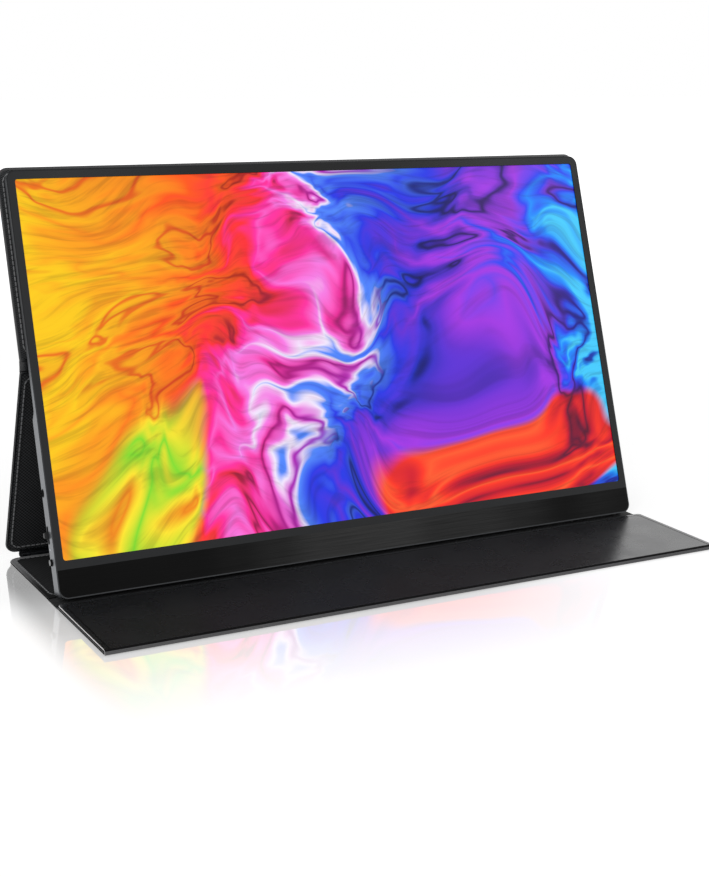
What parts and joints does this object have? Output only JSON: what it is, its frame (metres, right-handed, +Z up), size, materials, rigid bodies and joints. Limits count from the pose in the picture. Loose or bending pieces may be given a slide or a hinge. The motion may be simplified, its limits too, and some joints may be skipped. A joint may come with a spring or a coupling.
{
  "type": "portable monitor",
  "caption": "Portable flat monitor on a folding leather cover that props it up from behind and lies folded in front, with side sockets, a menu lever and a power button.",
  "frame": {"origin": "on the desk, below the middle of the monitor's front bottom edge", "axes": "+X to the viewer's right, +Y away from the viewer, +Z up"},
  "size_m": [0.3588, 0.1568, 0.209],
  "materials": {
    "case_metal": "fine blasted, anodised grey",
    "bezel_plastic": "fine matt",
    "chin_metal": "black with fine horizontal brushing",
    "display_glass": "lit picture under smooth glass",
    "film_white": "smooth",
    "clear_guide": "clear acrylic",
    "frame_black": "moulded",
    "tray_metal": "rolled",
    "pcb_green": "solder mask",
    "chip_black": "moulded epoxy",
    "flex_amber": "polyimide film",
    "foam_black": "closed cell foam",
    "socket_steel": "drawn steel",
    "copper": "rolled copper",
    "screw_steel": "turned",
    "magnet_nickel": "nickel plated",
    "button_metal": "satin",
    "light_pipe": "frosted clear",
    "lead_rubber": "smooth insulation",
    "leather_black": "fine grained, satin",
    "card_grey": "pressed card",
    "lining_weave": "fine twill"
  },
  "bodies": {
    "base": {"base_skin": "leather_black", "base_board": "card_grey", "base_lining": "lining_weave", "groove_strip": "leather_black", "groove_lining": "lining_weave", "spine_strip": "leather_black"},
    "leg": {"leg_skin": "leather_black", "leg_board": "card_grey", "leg_lining": "lining_weave", "back_strip": "leather_black"},
    "monitor": {"rear_cover": "case_metal", "front_bezel": "bezel_plastic", "chin_bar": "chin_metal", "chin_carrier": "frame_black", "lcd_glass": "display_glass", "optical_films": "film_white", "light_guide": "clear_guide", "reflector_sheet": "film_white", "panel_frame": "frame_black", "backlight_tray": "tray_metal", "led_strip": "flex_amber", "source_board": "pcb_green", "panel_flex": "flex_amber", "panel_tape": "foam_black", "steel_plates": "screw_steel", "main_board": "pcb_green", "main_chips": "chip_black", "heat_spreader": "copper", "usb_c_socket_lower": "socket_steel", "usb_c_socket_upper": "socket_steel", "hdmi_socket": "socket_steel", "side_board": "pcb_green", "audio_jack": "frame_black", "menu_switch": "frame_black", "power_switch": "frame_black", "status_light": "light_pipe", "side_cable": "flex_amber", "panel_cable": "flex_amber", "speaker_left": "frame_black", "speaker_right": "frame_black", "speaker_leads": "lead_rubber", "board_screws": "screw_steel", "magnet_plate": "frame_black", "cover_magnets": "magnet_nickel", "back_panel_skin": "leather_black", "back_panel_board": "card_grey", "back_panel_lining": "lining_weave"},
    "menu_lever": {"menu_lever": "button_metal"},
    "power_button": {"power_button": "button_metal"},
    "middle_section": {"middle_skin": "leather_black", "middle_board": "card_grey", "middle_lining": "lining_weave", "front_strip": "leather_black", "tip_strip": "leather_black"},
    "tip_section": {"tip_skin": "leather_black", "tip_board": "card_grey", "tip_lining": "lining_weave", "tip_magnets": "magnet_nickel"}
  },
  "joints": [
    {"name": "leg_fold", "type": "hinge", "parent": "base", "child": "leg", "pos_m": [0, 0.08455, 0.0002], "axis": [-1, 0, 0], "range_deg": [0, 102.9], "deforming": ["spine_strip"]},
    {"name": "back_fold", "type": "hinge", "parent": "leg", "child": "monitor", "pos_m": [0, 0.04589, 0.11194], "axis": [1, 0, 0], "range_deg": [0, 32.02], "deforming": ["back_strip"]},
    {"name": "front_fold", "type": "hinge", "parent": "base", "child": "middle_section", "pos_m": [0, -0.00275, 0.0002], "axis": [-1, 0, 0], "range_deg": [0, 84], "deforming": ["front_strip"]},
    {"name": "tip_fold", "type": "hinge", "parent": "middle_section", "child": "tip_section", "pos_m": [0, -0.071, 0.00135], "axis": [1, 0, 0], "range_deg": [0, 180], "deforming": ["tip_strip"]},
    {"name": "menu_rock", "type": "hinge", "parent": "monitor", "child": "menu_lever", "pos_m": [-0.1726, 0.01592, 0.03183], "axis": [0, -0.9455, 0.3256], "range_deg": [-12, 12], "stiffness_Nm_per_rad": 0.02},
    {"name": "power_press", "type": "slide", "parent": "monitor", "child": "power_button", "axis": [1, 0, 0], "range_m": [0, 0.0005], "stiffness_N_per_m": 1500}
  ],
  "couplings": [
    {"joint": "back_fold", "follows": "leg_fold", "ratio": 0.3111}
  ]
}
